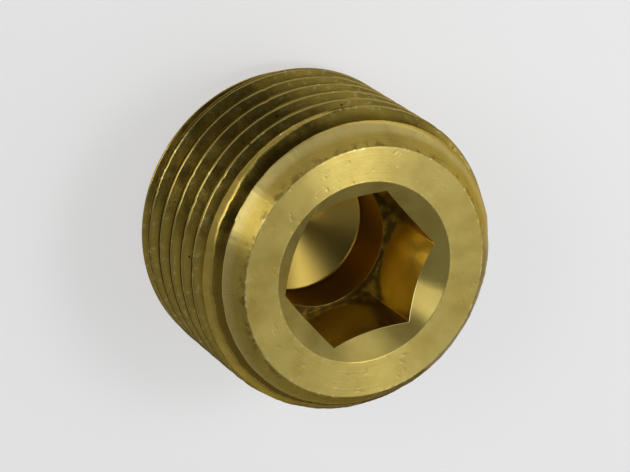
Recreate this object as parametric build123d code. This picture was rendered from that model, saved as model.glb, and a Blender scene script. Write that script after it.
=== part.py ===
from build123d import *
import math
import os

# Countersunk taper pipe plug, turned from brass bar in one piece.
# It stands on its small end at z = 0, with the hex socket opening upwards along +Z.
# One corner of the hex lies on the +X axis.

# Driving dimensions in millimetres, angles in degrees.

# Body
LENGTH = 14.29                # from the small end to the socket face, 9/16 in
FACE_DIAMETER = 17.4          # flat ring round the socket, up to the face chamfer
FACE_CHAMFER_ANGLE = 38.5     # slope of the face chamfer, measured from the axis
FACE_CHAMFER_SHARE = 0.62     # how much of the step from face to crest it takes up
SHOULDER_ANGLE = 27.0         # steeper slope from there down to the thread
TIP_CHAMFER = 1.25            # 45 degree chamfer on the small end

# Taper pipe thread, 1/2 in nominal, 14 turns to the inch, right-hand
MAJOR_DIAMETER = 21.34        # crest cone, carried on up to the socket face
PITCH = 25.4 / 14
TAPER = 1 / 16                # change of diameter for each unit of length
FLANK_ANGLE = 60.0            # between the two flanks of the groove
CREST_FLAT = 0.29
ROOT_FLAT = 0.16
CREST_AZIMUTH = 66.0          # where the crest crosses the plane of the small end

# Socket for a 3/8 in hex key, broached into a drilled and countersunk hole
HEX_ACROSS_FLATS = 9.62
HEX_DEPTH = 6.7               # below the socket face
MOUTH_DIAMETER = 12.55        # countersink at the socket face
MOUTH_ANGLE = 100.0           # cone angle of the countersink
DRILL_DIAMETER = 9.2          # pilot hole that the hex is broached in
DRILL_DEPTH = 10.15           # from the socket face to the shoulder of the drill point
DRILL_POINT_ANGLE = 135.0

NODE = "pipe_plug"


def crest_radius(z):
    """Radius of the thread's crest cone at height z."""
    return MAJOR_DIAMETER / 2 - (LENGTH - z) * TAPER / 2


def blank():
    """The turned blank: crest cone, face chamfer and tip chamfer, before the thread is cut."""
    chamfer_slope = math.tan(math.radians(FACE_CHAMFER_ANGLE))
    shoulder_slope = math.tan(math.radians(SHOULDER_ANGLE))
    face_radius = FACE_DIAMETER / 2
    chamfer_width = FACE_CHAMFER_SHARE * (crest_radius(LENGTH) - face_radius)
    break_radius = face_radius + chamfer_width
    break_z = LENGTH - chamfer_width / chamfer_slope
    shoulder_z = break_z - (crest_radius(break_z) - break_radius) / (shoulder_slope + TAPER / 2)
    outline = Polyline(
        (0, 0),
        (crest_radius(TIP_CHAMFER) - TIP_CHAMFER, 0),
        (crest_radius(TIP_CHAMFER), TIP_CHAMFER),
        (crest_radius(shoulder_z), shoulder_z),
        (break_radius, break_z),
        (face_radius, LENGTH),
        (0, LENGTH),
        close=True,
    )
    return revolve(Plane.XZ * make_face(outline), Axis.Z)


def groove_turn(turn):
    """One turn of the thread groove: a trapezoid carried round a tapering right-hand helix."""
    flank_slope = math.tan(math.radians(FLANK_ANGLE / 2))
    overshoot = CREST_FLAT / 4 / flank_slope
    depth = (PITCH - CREST_FLAT - ROOT_FLAT) / 2 / flank_slope
    mouth_half = (PITCH - CREST_FLAT) / 2 + overshoot * flank_slope
    section = [
        (overshoot, -mouth_half),
        (-depth, -ROOT_FLAT / 2),
        (-depth, ROOT_FLAT / 2),
        (overshoot, mouth_half),
    ]
    taper_angle = math.degrees(math.atan(TAPER / 2))
    start_z = turn * PITCH
    helices = [
        Helix(
            pitch=PITCH / math.cos(math.radians(taper_angle)),
            height=PITCH,
            radius=crest_radius(start_z) + out,
            center=(0, 0, start_z + along),
            cone_angle=taper_angle,
        )
        for out, along in section
    ]
    sides = [
        Face.make_surface_from_curves(helices[i - 1].edge(), helices[i].edge())
        for i in range(len(helices))
    ]
    caps = [
        make_face(Polyline(*[helix @ end for helix in helices], close=True)).face()
        for end in (0, 1)
    ]
    root_azimuth = CREST_AZIMUTH + 180
    return Rot(0, 0, root_azimuth) * Solid(Shell(sides + caps))


def groove():
    """All the turns of the groove, from one pitch below the small end to past the socket face."""
    last_turn = math.ceil(LENGTH / PITCH)
    return [groove_turn(turn) for turn in range(-1, last_turn + 1)]


def socket():
    """What the countersink, the broach and the pilot drill take away."""
    mouth_slope = math.tan(math.radians(MOUTH_ANGLE / 2))
    point_slope = math.tan(math.radians(DRILL_POINT_ANGLE / 2))
    drill_radius = DRILL_DIAMETER / 2
    mouth_radius = MOUTH_DIAMETER / 2
    mouth_depth = (mouth_radius - drill_radius) / mouth_slope
    shoulder_z = LENGTH - DRILL_DEPTH
    drilled = Polyline(
        (0, shoulder_z - drill_radius / point_slope),
        (drill_radius, shoulder_z),
        (drill_radius, LENGTH - mouth_depth),
        (mouth_radius, LENGTH),
        (0, LENGTH),
        close=True,
    )
    hexagon = RegularPolygon(HEX_ACROSS_FLATS / 2, 6, major_radius=False)
    broached = extrude(Pos(0, 0, LENGTH - HEX_DEPTH) * hexagon, HEX_DEPTH)
    return revolve(Plane.XZ * make_face(drilled), Axis.Z) + broached


def pipe_plug():
    """The finished plug."""
    return blank() - groove() - socket()


os.makedirs("parts", exist_ok=True)
plug = pipe_plug().solid()
plug.label = NODE
export_step(plug, f"parts/{NODE}.step")
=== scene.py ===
import math
import random
from collections import namedtuple
import bpy
from mathutils import Matrix, Vector, noise


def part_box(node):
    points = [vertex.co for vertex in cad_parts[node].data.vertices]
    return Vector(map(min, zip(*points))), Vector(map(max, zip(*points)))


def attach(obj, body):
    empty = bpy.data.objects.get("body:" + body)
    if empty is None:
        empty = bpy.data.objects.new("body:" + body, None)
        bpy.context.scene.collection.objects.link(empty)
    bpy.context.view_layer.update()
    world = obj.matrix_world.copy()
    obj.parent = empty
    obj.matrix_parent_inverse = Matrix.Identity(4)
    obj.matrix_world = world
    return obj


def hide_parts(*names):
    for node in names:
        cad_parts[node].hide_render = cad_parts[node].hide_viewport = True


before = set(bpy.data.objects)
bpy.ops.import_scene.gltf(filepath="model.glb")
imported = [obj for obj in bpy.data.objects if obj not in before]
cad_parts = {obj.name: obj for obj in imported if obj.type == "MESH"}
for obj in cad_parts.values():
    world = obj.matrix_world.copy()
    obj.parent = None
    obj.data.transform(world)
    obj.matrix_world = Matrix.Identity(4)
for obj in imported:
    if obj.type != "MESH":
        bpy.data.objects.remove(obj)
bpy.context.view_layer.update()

# A brass taper pipe plug with a hex socket, standing on its small end.
# Sizes are in millimetres and degrees, in the frame of the CAD model.

MM = 0.001
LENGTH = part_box("pipe_plug")[1][2] / MM

# Turned outside
FACE_RADIUS = 8.70
CHAMFER_SLOPES = (math.tan(math.radians(38.5)), math.tan(math.radians(27)))
CHAMFER_BREAK = 1.50              # depth below the face where the chamfer steepens
TIP_CHAMFER = 1.25
EDGE_ROUND = 0.06
RAGGED = 0.05                     # unevenness of the chamfer at its lip
RAGGED_START = 0.7                # depth below the face where it begins
RAGGED_SPAN = 0.8                 # further depth over which it grows to its full amount

# Taper pipe thread
CREST_RADIUS = 10.67              # crest cone, carried on up to the face
PITCH = 25.4 / 14
TAPER_SLOPE = 1 / 32
CREST_FLAT = 0.29
ROOT_FLAT = 0.16
FLANK_SLOPE = math.tan(math.radians(30))
THREAD_DEPTH = (PITCH - CREST_FLAT - ROOT_FLAT) / 2 / FLANK_SLOPE
ROOT_AZIMUTH = 246.0              # where the root crosses the plane of the small end
CREST_ROUND = 0.045
CREST_WEAR = 0.006                # mean wear of the crest
CREST_NICKS = 110
LIP_ROUND = 0.04                  # at the ends of the crest cone and along the groove in the chamfer
BREAK_ROUND = 0.12                # where the chamfer steepens
ROOT_ROUND = 0.06

# Socket
HEX_HALF = 9.62 / 2
HEX_FILLET = 0.07
HEX_DEPTH = 6.7
MOUTH_RADIUS = 12.55 / 2
MOUTH_SLOPE = math.tan(math.radians(50))
DRILL_RADIUS = 4.6
DRILL_DEPTH = 10.15
POINT_SLOPE = math.tan(math.radians(67.5))
MOUTH_ROUND = 0.05
HEX_ROUND = 0.04                  # at both ends of the hex walls
BORE_ROUND = 0.015
POINT_ROUND = 0.12                # between the wall and the point of the drilled hole

# Mesh
COLUMNS = 432                     # a multiple of six, so that columns fall on the hex corners
HALVINGS = 36                     # steps that find where a flank meets the blank
ROUND_SHARE = 0.45                # the most that a rounding takes of the runs beside it
SAME_PLACE = 1e-5                 # corners nearer than this are one
SAME_DIGITS = 5                   # vertices that agree to these decimals are one
ROUNDING_WEIGHT = 1e-4            # how much a rounding counts for normals, against a straight run

# Surfaces of the plug, one material each
END, THREAD, CHAMFER, FACE, MOUTH, HEX, LEDGE, BORE = range(8)

# A corner of the section, and the surface that follows it
Corner = namedtuple("Corner", "radius height rounding surface")


# Section of the plug

def crest_cone(z):
    return CREST_RADIUS - (LENGTH - z) * TAPER_SLOPE


def chamfer_cone(z):
    depth = LENGTH - z
    upper = min(depth, CHAMFER_BREAK)
    return FACE_RADIUS + CHAMFER_SLOPES[0] * upper + CHAMFER_SLOPES[1] * (depth - upper)


def shoulder_height():
    """Where the face chamfer runs out on the crest cone."""
    at_break = FACE_RADIUS + CHAMFER_SLOPES[0] * CHAMFER_BREAK
    past = (crest_cone(LENGTH - CHAMFER_BREAK) - at_break) / (CHAMFER_SLOPES[1] + TAPER_SLOPE)
    return LENGTH - CHAMFER_BREAK - past


def run_out_height():
    """Where the root of the thread comes out through the face chamfer."""
    depth = (CREST_RADIUS - THREAD_DEPTH - FACE_RADIUS) / (CHAMFER_SLOPES[0] + TAPER_SLOPE)
    return LENGTH - depth


def groove_height(turn, azimuth):
    return PITCH * (turn + (azimuth - ROOT_AZIMUTH) / 360)


def make_nicks():
    """Small dents knocked into the crest: place along the helix in turns, half width and depth."""
    dice = random.Random(11)
    nicks = []
    for _ in range(CREST_NICKS):
        half_width = dice.uniform(0.15, 0.5) / (2 * math.pi * CREST_RADIUS)
        nicks.append((dice.uniform(0, 9), half_width, dice.uniform(0.012, 0.045)))
    return nicks


NICKS = make_nicks()


def crest_wear(turns):
    """How far the crest is worn down at a place along the helix."""
    worn = CREST_WEAR * (1 + noise.noise(Vector((turns * 60, 3.7, 0))))
    for place, half_width, depth in NICKS:
        off = abs(turns - place) / half_width
        if off < 1:
            worn += depth * (1 - off * off)
    return worn


def ragged(z, azimuth):
    """How far the chamfer is dragged in near its lip, unevenly round the plug."""
    angle = math.radians(azimuth)
    wave = noise.noise(Vector((9 * math.cos(angle), 9 * math.sin(angle), 1.3)))
    wave += 0.6 * noise.noise(Vector((31 * math.cos(angle), 31 * math.sin(angle), 5.1)))
    nearness = min(max((LENGTH - z - RAGGED_START) / RAGGED_SPAN, 0.0), 1.0)
    return RAGGED * nearness * (1 + wave)


def envelope(z, azimuth):
    """Radius of the turned blank, with its worn crests."""
    turns = math.floor(z / PITCH - (azimuth - ROOT_AZIMUTH) / 360) + azimuth / 360
    crest = crest_cone(z) - crest_wear(turns)
    tip = crest_cone(TIP_CHAMFER) - TIP_CHAMFER + z
    return min(crest, tip, chamfer_cone(z) - ragged(z, azimuth))


def groove_radius(z, centre):
    root = crest_cone(centre) - THREAD_DEPTH
    return root + max(0.0, abs(z - centre) - ROOT_FLAT / 2) / FLANK_SLOPE


def lip(inside, outside, centre, azimuth):
    """Height where a flank meets the blank, between a height in the groove and one beyond it."""
    for _ in range(HALVINGS):
        middle = (inside + outside) / 2
        if groove_radius(middle, centre) < envelope(middle, azimuth):
            inside = middle
        else:
            outside = middle
    return inside


def groove_corners(turn, azimuth):
    """Heights of a groove's lower lip, root corners and upper lip, all one where it has run out."""
    centre = groove_height(turn, azimuth)
    starts = (centre - ROOT_FLAT / 2, centre, centre + ROOT_FLAT / 2)
    deepest = min(starts, key=lambda z: groove_radius(z, centre) - envelope(z, azimuth))
    if groove_radius(deepest, centre) >= envelope(deepest, azimuth):
        return (min(centre, run_out_height()),) * 4
    low = lip(deepest, centre - PITCH, centre, azimuth)
    high = lip(deepest, centre + PITCH, centre, azimuth)
    return low, max(low, starts[0]), min(high, starts[2]), high


def outside_corners(azimuth):
    """Corners of the outside, from the edge of the small end up."""
    breaks = (
        (TIP_CHAMFER, LIP_ROUND),
        (shoulder_height(), LIP_ROUND),
        (LENGTH - CHAMFER_BREAK, BREAK_ROUND),
    )
    first = math.ceil((ROOT_AZIMUTH - 360) / 360 - 0.5)
    last = math.floor((LENGTH + PITCH / 2) / PITCH + ROOT_AZIMUTH / 360)
    heights = [(0.0, EDGE_ROUND, THREAD)]
    lower = 0.0
    for turn in range(first, last + 2):
        if turn <= last:
            low, root_low, root_high, high = groove_corners(turn, azimuth)
        else:
            low = LENGTH
        for z, rounding in breaks:
            heights.append((min(max(z, lower), low), rounding, None))
        if turn <= last:
            heights.append((low, CREST_ROUND, THREAD))
            heights.append((root_low, ROOT_ROUND, THREAD))
            heights.append((root_high, ROOT_ROUND, THREAD))
            heights.append((high, CREST_ROUND, None))
            lower = high
    corners = []
    for z, rounding, surface in heights:
        z = min(max(z, 0.0), LENGTH)
        radius = envelope(z, azimuth)
        for turn in range(first, last + 1):
            radius = min(radius, groove_radius(z, groove_height(turn, azimuth)))
        on_chamfer = z > shoulder_height() - 1e-6
        if rounding == CREST_ROUND and on_chamfer:
            rounding = LIP_ROUND
        blank = CHAMFER if on_chamfer else THREAD
        corners.append(Corner(radius, z, rounding, surface or blank))
    return corners


def hex_radius(azimuth):
    """Distance from the axis to the hex wall, with its corners a little rounded."""
    from_corner = math.radians((azimuth + 30) % 60 - 30)
    from_flat = math.radians(azimuth % 60 - 30)
    tangent = math.atan((HEX_HALF - HEX_FILLET) * math.tan(math.radians(30)) / HEX_HALF)
    if abs(from_flat) <= tangent:
        return HEX_HALF / math.cos(from_flat)
    centre = (HEX_HALF - HEX_FILLET) / math.cos(math.radians(30))
    across = centre * math.sin(from_corner)
    return centre * math.cos(from_corner) + math.sqrt(HEX_FILLET ** 2 - across ** 2)


def socket_corners(azimuth):
    """Corners from the outer edge of the face in to the point of the drilled hole."""
    wall = hex_radius(azimuth)
    shoulder = LENGTH - DRILL_DEPTH
    floor = LENGTH - HEX_DEPTH
    return [
        Corner(FACE_RADIUS, LENGTH, EDGE_ROUND, FACE),
        Corner(MOUTH_RADIUS, LENGTH, MOUTH_ROUND, MOUTH),
        Corner(wall, LENGTH - (MOUTH_RADIUS - wall) / MOUTH_SLOPE, HEX_ROUND, HEX),
        Corner(wall, floor, HEX_ROUND, LEDGE),
        Corner(DRILL_RADIUS, floor, BORE_ROUND, BORE),
        Corner(DRILL_RADIUS, shoulder, POINT_ROUND, BORE),
        Corner(0.0, shoulder - DRILL_RADIUS / POINT_SLOPE, 0.0, BORE),
    ]


def spaced(corners):
    """Adds points along the long straight runs."""
    counts = {END: 4, FACE: 4, MOUTH: 2, HEX: 6, LEDGE: 2, BORE: 3}
    out = []
    for here, following in zip(corners, corners[1:]):
        out.append(here)
        count = counts.get(here.surface, 0)
        for i in range(1, count + 1):
            part = i / (count + 1)
            radius = here.radius + (following.radius - here.radius) * part
            height = here.height + (following.height - here.height) * part
            out.append(Corner(radius, height, 0.0, here.surface))
    out.append(corners[-1])
    return out


def rounded(corners):
    """The section's points, each corner rounded by three points. Corners that coincide stay together."""
    groups = []
    for index, corner in enumerate(corners):
        at = Vector((corner.radius, corner.height))
        if groups and (groups[-1][0] - at).length < SAME_PLACE:
            groups[-1][1].append(index)
        else:
            groups.append((at, [index]))
    points = []
    for place, (at, members) in enumerate(groups):
        main = max(members, key=lambda index: corners[index].rounding)
        before = groups[place - 1][0] - at if place > 0 else Vector((0, 0))
        after = groups[place + 1][0] - at if place + 1 < len(groups) else Vector((0, 0))
        reach = min(corners[main].rounding, ROUND_SHARE * before.length, ROUND_SHARE * after.length)
        start = at + before.normalized() * reach
        end = at + after.normalized() * reach
        middle = at * 0.5 + (start + end) * 0.25
        for index in members:
            if index < main:
                points += [start] * 3
            elif index == main:
                points += [start, middle, end]
            else:
                points += [end] * 3
    surfaces = []
    for corner in corners:
        surfaces += [corner.surface] * 3
    return points, surfaces


def column(azimuth):
    """Points and surfaces of the section, from the middle of the small end to the drill point."""
    foot = [Corner(0.0, 0.0, 0.0, END)]
    outside = outside_corners(azimuth)
    base = spaced(foot + outside[:1])[:-1]
    return rounded(base + outside + spaced(socket_corners(azimuth)))


# Mesh of the plug

def row_places(columns):
    """How far along the section each row of points lies on average, from 0 to 1."""
    places = [0.0]
    for k in range(1, len(columns[0][0])):
        total = sum((points[k] - points[k - 1]).length for points, _ in columns)
        places.append(places[-1] + total / len(columns))
    return [place / places[-1] for place in places]


def point_grid(columns):
    """The vertices, and the numbers of the vertices along each column. Points that meet are one."""
    index_of = {}
    vertices = []
    grid = []
    for i, (points, _) in enumerate(columns):
        angle = 2 * math.pi * (i % COLUMNS) / COLUMNS
        line = []
        for radius, height in points:
            spot = (radius * math.cos(angle), radius * math.sin(angle), height)
            key = tuple(round(c, SAME_DIGITS) for c in spot)
            if key not in index_of:
                index_of[key] = len(vertices)
                vertices.append(tuple(c * MM for c in spot))
            line.append(index_of[key])
        grid.append(line)
    return vertices, grid


def shading_normals(mesh, surfaces, straights):
    """A normal for each face corner, led by the straight runs. The hex walls shade flat."""
    normals = [Vector((0, 0, 0)) for _ in mesh.vertices]
    for polygon, straight in zip(mesh.polygons, straights):
        weight = polygon.area if straight else polygon.area * ROUNDING_WEIGHT
        for vertex in polygon.vertices:
            normals[vertex] += polygon.normal * weight
    split = []
    for polygon, surface in zip(mesh.polygons, surfaces):
        for vertex in polygon.vertices:
            split.append(polygon.normal if surface == HEX else normals[vertex].normalized())
    return split


def plug_mesh():
    """A grid of columns round the axis and rows along the section."""
    columns = [column(360 * i / COLUMNS) for i in range(COLUMNS + 1)]
    places = row_places(columns)
    vertices, grid = point_grid(columns)
    faces = []
    surfaces = []
    straights = []
    maps = []
    for i in range(COLUMNS):
        for k in range(len(places) - 1):
            face = []
            corners = []
            for a, b in ((i, k), (i + 1, k), (i + 1, k + 1), (i, k + 1)):
                if grid[a][b] not in face:
                    face.append(grid[a][b])
                    corners.append((a / COLUMNS, places[b]))
            if len(face) > 2:
                faces.append(face)
                surfaces.append(columns[i][1][k])
                # Each corner has three points, so every third strip is a straight run.
                straights.append(k % 3 == 2)
                maps += corners
    mesh = bpy.data.meshes.new("plug")
    mesh.from_pydata(vertices, [], faces)
    mesh.polygons.foreach_set("material_index", surfaces)
    bake_map = mesh.uv_layers.new(name="OFBake")
    for loop, place in zip(bake_map.data, maps):
        loop.uv = place
    mesh.polygons.foreach_set("use_smooth", [True] * len(faces))
    mesh.normals_split_custom_set(shading_normals(mesh, surfaces, straights))
    return mesh


# Materials

BRASS = (0.47, 0.374, 0.106, 1.0)
BRASS_DULL = (0.34, 0.245, 0.05, 1.0)
BRASS_WARM = (0.48, 0.352, 0.076, 1.0)
# A deeper brass for the thread: partly tarnish, partly painted shade and brass-on-brass reflection.
BRASS_DEEP_SHADED = (0.44, 0.305, 0.048, 1.0)
# A darker brass for the crest band: painted shade that dims its reflections.
BRASS_CREST_SHADE = (0.33, 0.252, 0.066, 1.0)
BRASS_FRESH = (0.76, 0.63, 0.25, 1.0)
# A darker amber brass for the drilled hole: painted shade and brass-on-brass reflection.
BRASS_SHADED_AMBER = (0.46, 0.33, 0.075, 1.0)
# Pale brass for painted glints and highlights; the face's scratches are drawn in it too.
BRASS_GLINT = (0.70, 0.60, 0.26, 1.0)
# Dark brown for tarnish and dirt, and for painted shade in the thread's roots.
TARNISH_AND_SHADE = (0.20, 0.128, 0.02, 1.0)
# Near black: the specks of dirt, and the darkened ledge.
NEAR_BLACK = (0.05, 0.035, 0.015, 1.0)
GRAZING_TINT = (0.74, 0.62, 0.40, 1.0)


def brass(name, colour, roughness):
    material = bpy.data.materials.new(name)
    material.use_nodes = True
    shader = material.node_tree.nodes["Principled BSDF"]
    shader.inputs["Base Color"].default_value = colour
    shader.inputs["Metallic"].default_value = 1.0
    shader.inputs["Roughness"].default_value = roughness
    shader.inputs["Specular Tint"].default_value = GRAZING_TINT
    return material


def add_node(material, kind, links=None, values=None, **settings):
    """A shader node with its settings, its input values and the sockets linked to its inputs."""
    node = material.node_tree.nodes.new(kind)
    for name, value in settings.items():
        setattr(node, name, value)
    for name, value in (values or {}).items():
        node.inputs[name].default_value = value
    for name, socket in (links or {}).items():
        material.node_tree.links.new(socket, node.inputs[name])
    return node


def to_shader(material, name, socket):
    shader = material.node_tree.nodes["Principled BSDF"]
    material.node_tree.links.new(socket, shader.inputs[name])


def position(material):
    return add_node(material, "ShaderNodeTexCoord").outputs["Object"]


def stretched(material, factors):
    """The position, drawn out differently along the three axes."""
    links = {0: position(material)}
    values = {1: factors}
    return add_node(material, "ShaderNodeVectorMath", links, values, operation="MULTIPLY").outputs[0]


def bearing(material):
    """Unit vector from the axis towards the point."""
    flat = stretched(material, (1, 1, 0))
    return add_node(material, "ShaderNodeVectorMath", {0: flat}, operation="NORMALIZE").outputs[0]


def height_of(material):
    return add_node(material, "ShaderNodeSeparateXYZ", {0: position(material)}).outputs["Z"]


def ring_place(material, along_axis):
    """A length that is the same all round the axis: the radius plus a share of the height."""
    flat = stretched(material, (1, 1, 0))
    radius = add_node(material, "ShaderNodeVectorMath", {0: flat}, operation="LENGTH").outputs["Value"]
    values = {1: along_axis}
    links = {0: height_of(material), 2: radius}
    return add_node(material, "ShaderNodeMath", links, values, operation="MULTIPLY_ADD").outputs[0]


def grain(material, vector, scale, detail=2.0):
    values = {"Scale": scale, "Detail": detail}
    return add_node(material, "ShaderNodeTexNoise", {"Vector": vector}, values).outputs["Fac"]


def rings(material, along_axis, scale):
    """Tool marks round the axis."""
    values = {"Scale": scale, "Detail": 4.0, "Roughness": 0.7}
    links = {"W": ring_place(material, along_axis)}
    return add_node(material, "ShaderNodeTexNoise", links, values, noise_dimensions="1D").outputs["Fac"]


def ranged(material, socket, start, end, low, high):
    values = {"From Min": start, "From Max": end, "To Min": low, "To Max": high}
    return add_node(material, "ShaderNodeMapRange", {"Value": socket}, values).outputs["Result"]


def faded(material, place, start, end, most):
    """0 up to a place in millimetres, rising to its most at another."""
    return ranged(material, place, start * MM, end * MM, 0.0, most)


def calculated(material, operation, first, second):
    links = {0: first, 1: second}
    return add_node(material, "ShaderNodeMath", links, operation=operation).outputs[0]


def mixed(material, factor, first, second):
    """One colour over another. The first is a socket or a plain colour."""
    node = add_node(material, "ShaderNodeMix", data_type="RGBA")
    colours = {socket.name: socket for socket in node.inputs if socket.type == "RGBA"}
    material.node_tree.links.new(factor, node.inputs["Factor"])
    colours["B"].default_value = second
    if isinstance(first, tuple):
        colours["A"].default_value = first
    else:
        material.node_tree.links.new(first, colours["A"])
    return [socket for socket in node.outputs if socket.type == "RGBA"][0]


def bumped(material, relief, strength, depth, under=None):
    """Surface relief of a depth in millimetres, on top of an earlier one."""
    links = {"Height": relief}
    if under:
        links["Normal"] = under
    values = {"Strength": strength, "Distance": depth * MM}
    return add_node(material, "ShaderNodeBump", links, values).outputs["Normal"]


def specks(material, scale, amount):
    """Small scattered pits, 1 inside a pit."""
    links = {"Vector": position(material)}
    values = {"Scale": scale, "Randomness": 1.0}
    cells = add_node(material, "ShaderNodeTexVoronoi", links, values)
    near = ranged(material, cells.outputs["Distance"], 0.10, 0.26, 1.0, 0.0)
    chosen = add_node(material, "ShaderNodeSeparateColor", {0: cells.outputs["Color"]}).outputs[0]
    kept = ranged(material, chosen, amount, amount * 0.8, 0.0, 1.0)
    return calculated(material, "MULTIPLY", near, kept)


def dulled(material, colour, scale, start, end, most):
    """Colour with patches of thin tarnish."""
    patch = ranged(material, grain(material, position(material), scale, 4.0), start, end, 0.0, most)
    return mixed(material, patch, colour, BRASS_DULL)


def spotted(material, band, scale, start):
    """Small spots inside a band, 1 inside a spot. A higher start leaves fewer. Pale spots from it are
    painted glints; dark ones are dirt.
    """
    spot_noise = grain(material, position(material), scale, 3.0)
    spots = ranged(material, spot_noise, start, start + 0.1, 0.0, 1.0)
    return calculated(material, "MULTIPLY", band, spots)


def edge_bands(material, inner, outer, width):
    """1 at the two edges of a flat ring, falling to 0 over a width."""
    radius = ring_place(material, 0.0)
    inside = faded(material, radius, inner + width, inner, 1.0)
    outside = faded(material, radius, outer - width, outer, 1.0)
    return calculated(material, "MAXIMUM", inside, outside)


def scratches(material):
    """A few short fine scratches, 1 inside a scratch."""
    drawn = grain(material, stretched(material, (0.35, 1, 1)), 4000, 1.0)
    return ranged(material, drawn, 0.73, 0.82, 0.0, 0.5)


def face_glints_and_scratches(material, colour):
    """Pale spots on the knocked edges of the flat ring, painted glints, and a few scratches drawn in the
    same pale colour.
    """
    band = edge_bands(material, MOUTH_RADIUS, FACE_RADIUS, 0.15)
    # Painted glints on the knocked edges, and pale scratches.
    colour = mixed(material, spotted(material, band, 2600, 0.53), colour, BRASS_GLINT)
    return mixed(material, scratches(material), colour, BRASS_GLINT)


def chamfer_highlight_and_dirt(material, colour):
    """A pale band towards the lip of the chamfer, a painted highlight, and dirt beside the flat ring."""
    level = height_of(material)
    # The pale band is painted highlight.
    inner = faded(material, level, LENGTH - 0.7, LENGTH - 1.2, 0.45)
    outer = faded(material, level, LENGTH - 1.7, LENGTH - 1.4, 0.45)
    colour = mixed(material, calculated(material, "MINIMUM", inner, outer), colour, BRASS_GLINT)
    beside = faded(material, level, LENGTH - 0.5, LENGTH - 0.1, 0.8)
    return mixed(material, spotted(material, beside, 1900, 0.5), colour, TARNISH_AND_SHADE)


def turned(name, bare, along_axis, smooth, rough, spread, relief, wear=None):
    """Turned brass: fine rings round the axis that spread the gloss across them."""
    material = brass(name, bare, smooth)
    shader = material.node_tree.nodes["Principled BSDF"]
    chatter = grain(material, bearing(material), 6, 1.0)
    to_shader(material, "Roughness", ranged(material, chatter, 0.3, 0.7, smooth, rough))
    colour = dulled(material, bare, 520, 0.42, 0.72, 0.6)
    # The marks added here include painted glints and a painted highlight, besides real wear and dirt.
    if wear:
        colour = wear(material, colour)
    to_shader(material, "Base Color", colour)
    marks = bumped(material, rings(material, along_axis, 5200), 0.22 * relief, 0.03)
    dents = ranged(material, grain(material, position(material), 1500, 3.0), 0.62, 0.74, 1.0, 0.0)
    to_shader(material, "Normal", bumped(material, dents, 0.30 * relief, 0.03, marks))
    tangent = add_node(material, "ShaderNodeTangent", direction_type="RADIAL", axis="Z")
    to_shader(material, "Tangent", tangent.outputs[0])
    shader.inputs["Anisotropic"].default_value = spread
    shader.inputs["Anisotropic Rotation"].default_value = 0.25
    return material


def threaded():
    """Cut thread in a deeper brass (partly tarnish, partly painted shade), darker in the grooves (dirt
    and painted shade), paler towards the crest (wear and painted light), with a darkened crest band
    (painted shade), painted glints and specks of dirt.
    """
    material = brass("brass_thread", BRASS, 0.2)
    blotch = grain(material, stretched(material, (1, 1, 0.6)), 900, 4.0)
    to_shader(material, "Roughness", ranged(material, blotch, 0.35, 0.7, 0.17, 0.30))
    pits = specks(material, 2000, 0.05)
    patch = ranged(material, grain(material, position(material), 520, 5.0), 0.45, 0.68, 0.0, 0.65)
    # Base of the thread: a deeper brass, partly painted shade, with patches of tarnish.
    colour = mixed(material, patch, BRASS_DEEP_SHADED, TARNISH_AND_SHADE)
    crest = CREST_RADIUS - LENGTH * TAPER_SLOPE
    depth = ring_place(material, -TAPER_SLOPE)
    # Darker towards the root: dirt and painted shade.
    root_dirt_and_shade = faded(material, depth, crest - 0.3, crest - 0.8, 0.88)
    colour = mixed(material, root_dirt_and_shade, colour, TARNISH_AND_SHADE)
    # Paler towards the crest: wear and painted light, with painted glints.
    crest_side_wear_and_light = faded(material, depth, crest - 0.6, crest - 0.1, 0.75)
    colour = mixed(material, crest_side_wear_and_light, colour, BRASS_WARM)
    colour = mixed(material, spotted(material, crest_side_wear_and_light, 2400, 0.56), colour, BRASS_GLINT)
    # The crest band is darkened as painted shade, with painted glints.
    bare = faded(material, depth, crest - 0.18, crest - 0.06, 1.0)
    colour = mixed(material, bare, colour, BRASS_CREST_SHADE)
    colour = mixed(material, spotted(material, bare, 2200, 0.63), colour, BRASS_GLINT)
    to_shader(material, "Base Color", mixed(material, pits, colour, NEAR_BLACK))
    tears = bumped(material, grain(material, stretched(material, (1, 1, 5)), 1800, 4.0), 0.16, 0.03)
    to_shader(material, "Normal", bumped(material, pits, -0.5, 0.04, tears))
    return material


def broached():
    """Hex walls, with the lines that the broach leaves along the axis."""
    material = brass("brass_hex", BRASS_FRESH, 0.3)
    lines = grain(material, stretched(material, (1, 1, 0.06)), 3000, 3.0)
    to_shader(material, "Roughness", ranged(material, lines, 0.3, 0.7, 0.14, 0.24))
    to_shader(material, "Base Color", dulled(material, BRASS_FRESH, 500, 0.5, 0.8, 0.5))
    to_shader(material, "Normal", bumped(material, lines, 0.12, 0.04))
    return material


def torn():
    """Ledge at the foot of the broached hex, torn, its colour darkened nearly to black with paler
    crumbs.
    """
    material = brass("brass_ledge", NEAR_BLACK, 0.45)
    crumbs = grain(material, position(material), 1600, 4.0)
    shown = ranged(material, crumbs, 0.45, 0.7, 0.1, 0.8)
    to_shader(material, "Base Color", mixed(material, shown, NEAR_BLACK, BRASS_DULL))
    to_shader(material, "Normal", bumped(material, crumbs, 0.5, 0.08))
    return material


def drilled():
    """Drilled hole, smooth, in a darker amber brass: painted shade and brass-on-brass reflection in the
    hole.
    """
    return brass("brass_bore", BRASS_SHADED_AMBER, 0.28)


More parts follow.
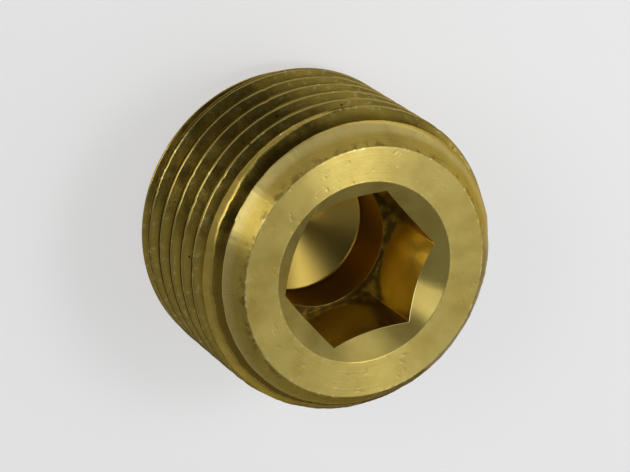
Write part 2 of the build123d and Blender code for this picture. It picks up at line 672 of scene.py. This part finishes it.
def plug_materials():
    """In the order of the surfaces."""
    return [
        turned("brass_end", BRASS, along_axis=0.0, smooth=0.36, rough=0.48, spread=0.7, relief=1.0),
        threaded(),
        turned(
            "brass_chamfer", BRASS_WARM,
            along_axis=1.6, smooth=0.24, rough=0.30, spread=0.3, relief=0.6, wear=chamfer_highlight_and_dirt,
        ),
        turned(
            "brass_face", BRASS,
            along_axis=0.0, smooth=0.31, rough=0.41, spread=0.8, relief=1.0, wear=face_glints_and_scratches,
        ),
        turned("brass_mouth", BRASS, along_axis=1.2, smooth=0.33, rough=0.39, spread=0.88, relief=0.5),
        broached(),
        torn(),
        drilled(),
    ]


# Camera

VIEW_TILT = 32.12                 # angle between the socket axis and the line of sight
VIEW_ROLL = 35.83                 # turn of the axis in the picture
VIEW_AZIMUTH = 9.7                # turn of the plug about its axis
FOCAL_PIXELS = 12000
PIXELS_PER_MM = 15.19             # scale at the face
FACE_PIXEL = (364.45, 272.5)
IMAGE = (630, 472)
SENSOR = 36.0


def view_axes():
    """Right, down and forward of the photograph's view, in the frame of the part."""
    tilt = math.radians(VIEW_TILT)
    roll = math.radians(VIEW_ROLL)
    right = Vector((math.cos(tilt) * math.cos(roll), math.sin(roll), math.sin(tilt) * math.cos(roll)))
    down = Vector((math.cos(tilt) * math.sin(roll), -math.cos(roll), math.sin(tilt) * math.sin(roll)))
    forward = Vector((math.sin(tilt), 0, -math.cos(tilt)))
    turn = Matrix.Rotation(math.radians(VIEW_AZIMUTH), 3, "Z")
    return turn @ right, turn @ down, turn @ forward


RIGHT, DOWN, FORWARD = view_axes()


def add_camera():
    data = bpy.data.cameras.new("camera")
    data.sensor_width = SENSOR
    data.lens = FOCAL_PIXELS * SENSOR / IMAGE[0]
    data.clip_start = 0.01
    data.clip_end = 20
    across = (FACE_PIXEL[0] - IMAGE[0] / 2) / PIXELS_PER_MM
    below = (FACE_PIXEL[1] - IMAGE[1] / 2) / PIXELS_PER_MM
    away = FOCAL_PIXELS / PIXELS_PER_MM
    face = Vector((0, 0, LENGTH))
    place = face - RIGHT * across - DOWN * below - FORWARD * away
    axes = Matrix((RIGHT, -DOWN, -FORWARD)).transposed().to_4x4()
    camera = bpy.data.objects.new("camera", data)
    camera.matrix_world = Matrix.Translation(place * MM) @ axes
    bpy.context.collection.objects.link(camera)
    bpy.context.scene.camera = camera


# Floor and light

FLOOR_HALF = 1500
FLOOR_DROP = 0.03                 # how far the floor lies below the small end
FLOOR_WHITENING = 0.5
CARD_FOOT = 0.5                   # height of the card's lower edge
MAT_HEIGHT = 0.4
MAT_INNER = 11.2                  # radius of the mats' inner edge
ROOM = 0.3                        # brightness of the room
ROOM_DARK = 0.05                  # its brightness in the dark part
DARK_TOWARD = (-25, 66)           # azimuth and elevation of the dark part
DARK_ANGLES = (26, 40)            # from its middle to where it starts to fade and where it ends


def whitened(material, share):
    """Mixes plain white into what the camera and the metal see of a material."""
    path = add_node(material, "ShaderNodeLightPath").outputs
    direct = calculated(material, "ADD", path["Is Camera Ray"], path["Is Glossy Ray"])
    seen = calculated(material, "MAXIMUM", direct, path["Is Transmission Ray"])
    amount = ranged(material, seen, 0.0, 1.0, 0.0, share)
    values = {"Color": (1, 1, 1, 1), "Strength": 1.0}
    white = add_node(material, "ShaderNodeEmission", values=values).outputs[0]
    surface = material.node_tree.nodes["Principled BSDF"].outputs[0]
    mix = add_node(material, "ShaderNodeMixShader", {0: amount, 1: surface, 2: white})
    output = material.node_tree.nodes["Material Output"]
    material.node_tree.links.new(mix.outputs[0], output.inputs["Surface"])


def add_floor():
    half = FLOOR_HALF * MM
    level = -FLOOR_DROP * MM
    corners = [(-half, -half, level), (half, -half, level), (half, half, level), (-half, half, level)]
    mesh = bpy.data.meshes.new("floor")
    mesh.from_pydata(corners, [], [(0, 1, 2, 3)])
    material = bpy.data.materials.new("floor")
    material.use_nodes = True
    shader = material.node_tree.nodes["Principled BSDF"]
    shader.inputs["Base Color"].default_value = (0.9, 0.9, 0.9, 1)
    shader.inputs["Roughness"].default_value = 0.8
    shader.inputs["Specular IOR Level"].default_value = 0.1
    mesh.materials.append(material)
    whitened(material, FLOOR_WHITENING)
    floor = bpy.data.objects.new("floor", mesh)
    bpy.context.collection.objects.link(floor)


def toward(azimuth, elevation):
    """Direction from the plug. Azimuth is 0 on the camera's side and grows counter-clockwise."""
    turn = math.atan2(-FORWARD.y, -FORWARD.x) + math.radians(azimuth)
    rise = math.radians(elevation)
    return Vector((math.cos(rise) * math.cos(turn), math.cos(rise) * math.sin(turn), math.sin(rise)))


def add_softbox(name, azimuth, elevation, width, height, radiance, distance=1000):
    """A flat lamp that faces the plug. Its size is given as seen from the plug, in degrees."""
    direction = toward(azimuth, elevation)
    data = bpy.data.lights.new(name, "AREA")
    data.shape = "RECTANGLE"
    data.size = 2 * distance * MM * math.tan(math.radians(width / 2))
    data.size_y = 2 * distance * MM * math.tan(math.radians(height / 2))
    data.energy = radiance * math.pi * data.size * data.size_y
    light = bpy.data.objects.new(name, data)
    place = Matrix.Translation((direction * distance + Vector((0, 0, LENGTH))) * MM)
    light.matrix_world = place @ direction.to_track_quat("Z", "Y").to_matrix().to_4x4()
    light.visible_camera = False
    bpy.context.collection.objects.link(light)


def add_world():
    """A dim room, darker above the camera."""
    world = bpy.data.worlds.new("studio")
    bpy.context.scene.world = world
    world.use_nodes = True
    nodes = world.node_tree.nodes
    links = world.node_tree.links
    place = nodes.new("ShaderNodeTexCoord")
    along = nodes.new("ShaderNodeVectorMath")
    along.operation = "DOT_PRODUCT"
    along.inputs[1].default_value = toward(*DARK_TOWARD)
    ramp = nodes.new("ShaderNodeMapRange")
    ramp.interpolation_type = "SMOOTHSTEP"
    ramp.inputs["From Min"].default_value = math.cos(math.radians(DARK_ANGLES[1]))
    ramp.inputs["From Max"].default_value = math.cos(math.radians(DARK_ANGLES[0]))
    ramp.inputs["To Min"].default_value = ROOM
    ramp.inputs["To Max"].default_value = ROOM_DARK
    links.new(place.outputs["Generated"], along.inputs[0])
    links.new(along.outputs["Value"], ramp.inputs["Value"])
    links.new(ramp.outputs["Result"], nodes["Background"].inputs["Color"])


def add_sheet(name, vertices, faces, grey):
    """A plain matt sheet that only the metal sees."""
    mesh = bpy.data.meshes.new(name)
    mesh.from_pydata(vertices, [], faces)
    material = bpy.data.materials.new(name)
    material.use_nodes = True
    shader = material.node_tree.nodes["Principled BSDF"]
    shader.inputs["Base Color"].default_value = (grey, grey, grey, 1)
    shader.inputs["Roughness"].default_value = 1.0
    shader.inputs["Specular IOR Level"].default_value = 0.0
    mesh.materials.append(material)
    sheet = bpy.data.objects.new(name, mesh)
    sheet.visible_camera = False
    sheet.visible_diffuse = False
    sheet.visible_shadow = False
    bpy.context.collection.objects.link(sheet)


def add_card():
    """A grey card round the side that stays dim, seen only by the metal, where it paints darker
    reflections: azimuth, distance and top edge of each fold.
    """
    folds = (
        (-45, 60, 11.5),
        (18, 60, 11.5),
        (22, 60, 24),
        (60, 50, 24),
        (100, 36, 24),
        (140, 27, 24),
        (180, 24, 24),
        (205, 27, 24),
    )
    vertices = []
    for azimuth, distance, top in folds:
        side = toward(azimuth, 0) * distance
        vertices.append((side.x * MM, side.y * MM, CARD_FOOT * MM))
        vertices.append((side.x * MM, side.y * MM, top * MM))
    faces = [(2 * i, 2 * i + 2, 2 * i + 3, 2 * i + 1) for i in range(len(folds) - 1)]
    add_sheet("card", vertices, faces, 0.53)


def add_mat(name, first, last, outer, grey):
    """A darker sheet on the floor, part of a ring round the plug, seen only by the metal: it paints
    darker reflections of the floor.
    """
    vertices = []
    for azimuth in range(first, last + 1, 5):
        for distance in (MAT_INNER, outer):
            side = toward(azimuth, 0) * distance
            vertices.append((side.x * MM, side.y * MM, MAT_HEIGHT * MM))
    faces = [(i, i + 1, i + 3, i + 2) for i in range(0, len(vertices) - 2, 2)]
    add_sheet(name, vertices, faces, grey)


def add_lights():
    """Soft boxes round the plug, three of them close to it."""
    add_softbox("window", 14, 24, 30, 42, 1.3)
    add_softbox("window_high", 14, 42, 26, 13, 3.0)
    add_softbox("window_low", -20, 9, 24, 14, 0.75)
    add_softbox("left", -74, 31, 46, 16, 0.54)
    add_softbox("left_low", -62, 10, 52, 20, 0.3)
    add_softbox("back_left", -153, 16, 50, 24, 0.48)
    add_softbox("back", -150, 54, 48, 42, 0.85, distance=70)
    add_softbox("bow", -117, 68, 18, 18, 7.0, distance=90)
    add_softbox("strip", -86, -15.7, 44, 7, 0.6, distance=39.5)


plug = bpy.data.objects.new("plug", plug_mesh())
bpy.context.collection.objects.link(plug)
for material in plug_materials():
    plug.data.materials.append(material)
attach(plug, "root")
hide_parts("pipe_plug")

add_camera()
add_floor()
add_card()
add_mat("mat", -40, 95, 20, 0.14)
add_mat("mat_right", 95, 170, 24, 0.14)
add_mat("mat_left", -75, -40, 20, 0.4)
add_world()
add_lights()
bpy.context.scene.view_settings.view_transform = "Standard"
